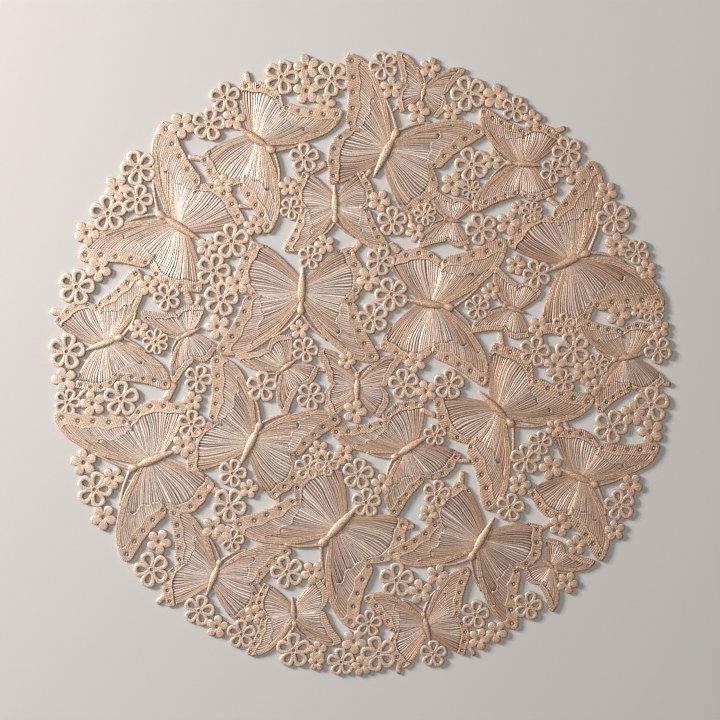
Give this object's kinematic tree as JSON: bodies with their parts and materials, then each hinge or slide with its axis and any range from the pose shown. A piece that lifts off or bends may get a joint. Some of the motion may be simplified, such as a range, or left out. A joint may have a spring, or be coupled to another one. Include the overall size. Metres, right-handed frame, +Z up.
{
  "type": "cutwork placemat",
  "caption": "Round placemat of pressed foil-faced vinyl, cut out as twenty-seven butterflies joined by small pierced and domed flowers.",
  "frame": {"origin": "middle of the underside, where the mat lies on the table", "axes": "+Z up out of the patterned face, +Y towards the picture's top edge, +X towards its right edge"},
  "size_m": [0.3819, 0.3831, 0.0018],
  "materials": {
    "pressed_vinyl": "metallic champagne foil face with a soft sheen"
  },
  "bodies": {
    "root": {"cutwork_sheet": "pressed_vinyl"}
  },
  "joints": []
}
